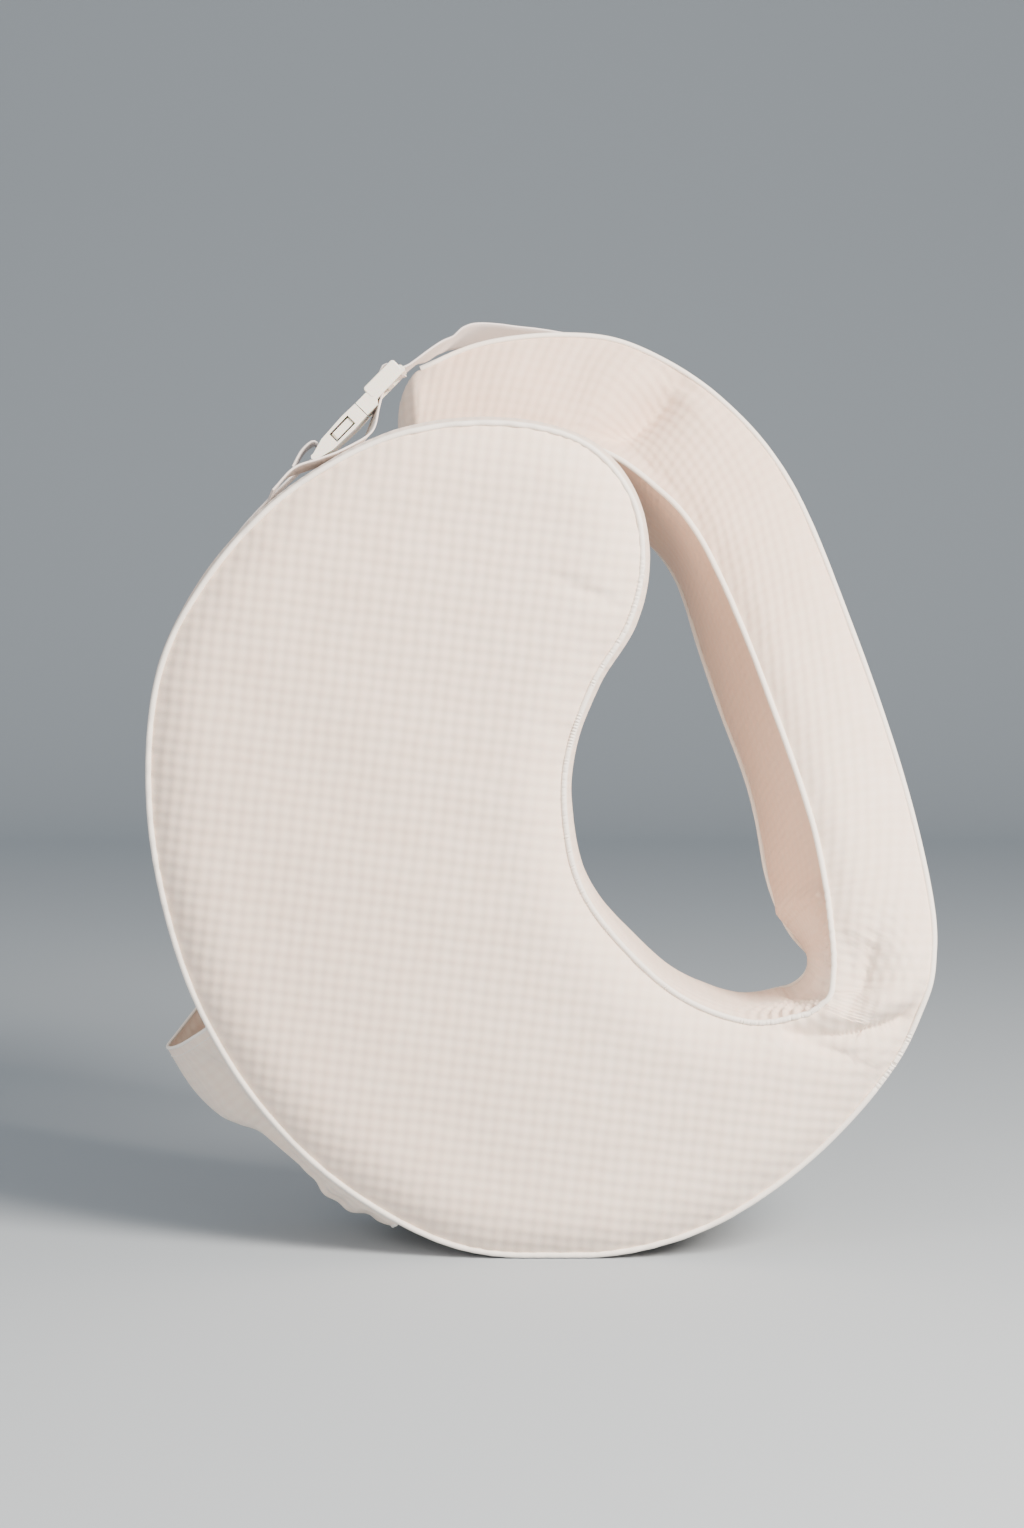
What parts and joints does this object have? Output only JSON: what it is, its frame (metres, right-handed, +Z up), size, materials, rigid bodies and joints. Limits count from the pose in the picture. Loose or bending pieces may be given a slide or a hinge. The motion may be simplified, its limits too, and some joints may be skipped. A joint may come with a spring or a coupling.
{
  "type": "nursing pillow",
  "caption": "C-shaped stuffed nursing pillow standing on its edge, one arm folded back and held by a webbing strap with a side-release buckle, with a side pocket.",
  "frame": {"origin": "centre of the object's box at the height of the surface it stands on", "axes": "+X to the right seen from the front, +Y to the back, +Z up"},
  "size_m": [0.5192, 0.2862, 0.6122],
  "materials": {
    "cover_knit": "quilted waffle jacquard knit",
    "piping": "woven cotton over cord",
    "insert_case": "plain woven",
    "fibre_filling": "polyester fibre",
    "webbing": "woven polypropylene webbing",
    "buckle_plastic": "moulded acetal",
    "zipper_tape": "woven tape",
    "zipper_nylon": "nylon coil",
    "zipper_metal": "lacquered zinc",
    "label_satin": "satin, blank"
  },
  "bodies": {
    "cushion": {"cover_front": "cover_knit", "cover_back": "cover_knit", "cover_band_outer": "cover_knit", "cover_band_inner": "cover_knit", "piping_front": "piping", "piping_back": "piping", "insert_case_front": "insert_case", "insert_case_back": "insert_case", "insert_filling": "fibre_filling", "pocket_panel": "cover_knit", "pocket_binding": "piping", "pocket_hem_elastic": "piping", "strap_webbing_short": "webbing", "strap_patch_short": "cover_knit", "buckle_socket": "buckle_plastic", "zipper_tape_left": "zipper_tape", "zipper_tape_right": "zipper_tape", "zipper_coil": "zipper_nylon", "zipper_bottom_stop": "zipper_metal", "zipper_top_stop": "zipper_metal", "care_label": "label_satin"},
    "arm": {"arm_cover_front": "cover_knit", "arm_cover_back": "cover_knit", "arm_band_outer": "cover_knit", "arm_band_inner": "cover_knit", "arm_band_end": "cover_knit", "arm_piping_front": "piping", "arm_piping_back": "piping", "arm_case_front": "insert_case", "arm_case_back": "insert_case", "arm_filling": "fibre_filling", "strap_webbing_long": "webbing", "strap_patch_long": "cover_knit", "buckle_plug": "buckle_plastic"},
    "prong_near": {"buckle_prong_near": "buckle_plastic"},
    "prong_far": {"buckle_prong_far": "buckle_plastic"},
    "slider": {"zipper_slider": "zipper_metal"},
    "pull": {"zipper_pull": "zipper_metal"}
  },
  "joints": [
    {"name": "arm_swing", "type": "hinge", "parent": "cushion", "child": "arm", "pos_m": [0.2611, -0.0651, 0.1801], "axis": [0, 1, 0], "range_deg": [0, 30], "deforming": ["buckle_prong_near", "buckle_prong_far", "strap_webbing_long"]},
    {"name": "prong_near_press", "type": "hinge", "parent": "arm", "child": "prong_near", "pos_m": [-0.118, -0.0371, 0.5488], "axis": [0.7143, 0, -0.6999], "range_deg": [0, 8], "stiffness_Nm_per_rad": 0.15},
    {"name": "prong_far_press", "type": "hinge", "parent": "arm", "child": "prong_far", "pos_m": [-0.118, -0.0131, 0.5488], "axis": [-0.7143, 0, 0.6999], "range_deg": [0, 8], "stiffness_Nm_per_rad": 0.15},
    {"name": "zipper_slide", "type": "slide", "parent": "cushion", "child": "slider", "axis": [0, 0, 1], "range_m": [0, 0.219]},
    {"name": "pull_flip", "type": "hinge", "parent": "slider", "child": "pull", "pos_m": [-0.1143, 0.0181, 0.1865], "axis": [1, 0, 0], "range_deg": [0, 150]}
  ]
}
